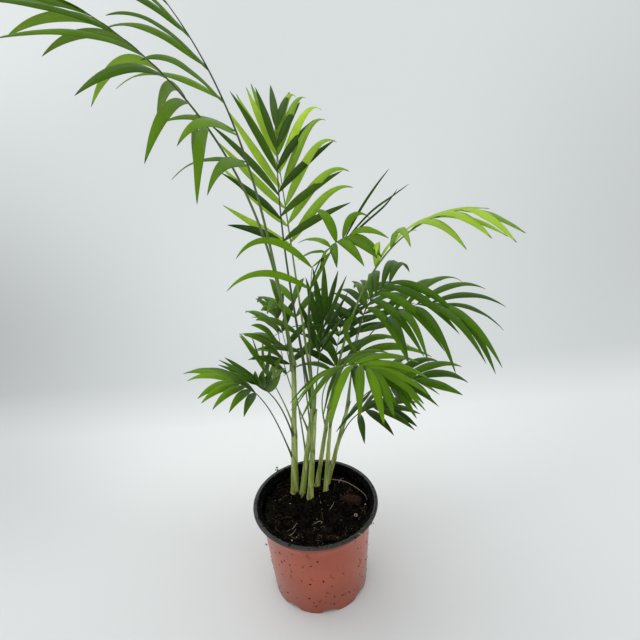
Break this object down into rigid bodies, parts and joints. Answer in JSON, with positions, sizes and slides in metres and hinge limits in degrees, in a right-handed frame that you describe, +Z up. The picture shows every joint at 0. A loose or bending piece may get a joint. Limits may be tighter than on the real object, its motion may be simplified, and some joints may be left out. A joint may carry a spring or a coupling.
{
  "type": "potted parlour palm",
  "caption": "Small parlour palm in a tapered plastic nursery pot: a clump of slim sheathed stems with arching feather fronds over dark soil.",
  "frame": {"origin": "centre of the pot's flat underside, on the surface that the plant stands on", "axes": "+Z up along the pot's axis, +X to the right and +Y to the back as the plant is seen from the front, -Y side"},
  "size_m": [0.3845, 0.3654, 0.5889],
  "materials": {
    "pot_outside": "thin moulded terracotta-pink plastic, soft satin, faint turning rings, stuck crumbs of soil",
    "pot_inside": "black plastic of the rim and the inside, satin",
    "soil": "moist near-black potting soil with bark, fibres and pale specks",
    "stem_sheath": "smooth pale yellow-green leaf sheaths, darker green above",
    "frond_stalk": "thin smooth green stalk",
    "frond_leaf": "satin green leaf with fine lengthwise veins"
  },
  "bodies": {
    "root": {"pot": "pot_outside", "soil": "soil", "stem_a": "stem_sheath", "stem_b": "stem_sheath", "stem_c": "stem_sheath", "stem_d": "stem_sheath", "stem_e": "stem_sheath", "stem_f": "stem_sheath", "frond_a1_blade_far": "frond_leaf", "frond_a1_blade_near": "frond_leaf", "frond_a1_stalk_far": "frond_stalk", "frond_a1_stalk_near": "frond_stalk", "frond_a2_blade_far": "frond_leaf", "frond_a2_blade_near": "frond_leaf", "frond_a2_stalk_far": "frond_stalk", "frond_a2_stalk_near": "frond_stalk", "frond_a3_blade": "frond_leaf", "frond_a3_stalk": "frond_stalk", "frond_a4_blade": "frond_leaf", "frond_a4_stalk": "frond_stalk", "frond_a5_blade": "frond_leaf", "frond_a5_stalk": "frond_stalk", "frond_b1_blade": "frond_leaf", "frond_b1_stalk": "frond_stalk", "frond_b2_blade": "frond_leaf", "frond_b2_stalk": "frond_stalk", "frond_b3_blade": "frond_leaf", "frond_b3_stalk": "frond_stalk", "frond_b4_blade": "frond_leaf", "frond_b4_stalk": "frond_stalk", "frond_c1_blade": "frond_leaf", "frond_c1_stalk": "frond_stalk", "frond_c2_blade": "frond_leaf", "frond_c2_stalk": "frond_stalk", "frond_c3_blade": "frond_leaf", "frond_c3_stalk": "frond_stalk", "frond_c4_blade": "frond_leaf", "frond_c4_stalk": "frond_stalk", "frond_c5_blade": "frond_leaf", "frond_c5_stalk": "frond_stalk", "frond_d1_blade_far": "frond_leaf", "frond_d1_blade_near": "frond_leaf", "frond_d1_stalk": "frond_stalk", "frond_d2_blade_far": "frond_leaf", "frond_d2_blade_near": "frond_leaf", "frond_d2_stalk": "frond_stalk", "frond_e1_blade_far": "frond_leaf", "frond_e1_blade_near": "frond_leaf", "frond_e1_stalk": "frond_stalk", "frond_e2_blade": "frond_leaf", "frond_e2_stalk": "frond_stalk", "frond_f1_blade": "frond_leaf", "frond_f1_stalk": "frond_stalk", "frond_f2_blade": "frond_leaf", "frond_f2_stalk": "frond_stalk", "frond_f3_blade": "frond_leaf", "frond_f3_stalk": "frond_stalk", "frond_f4_blade": "frond_leaf", "frond_f4_stalk": "frond_stalk"}
  },
  "joints": []
}
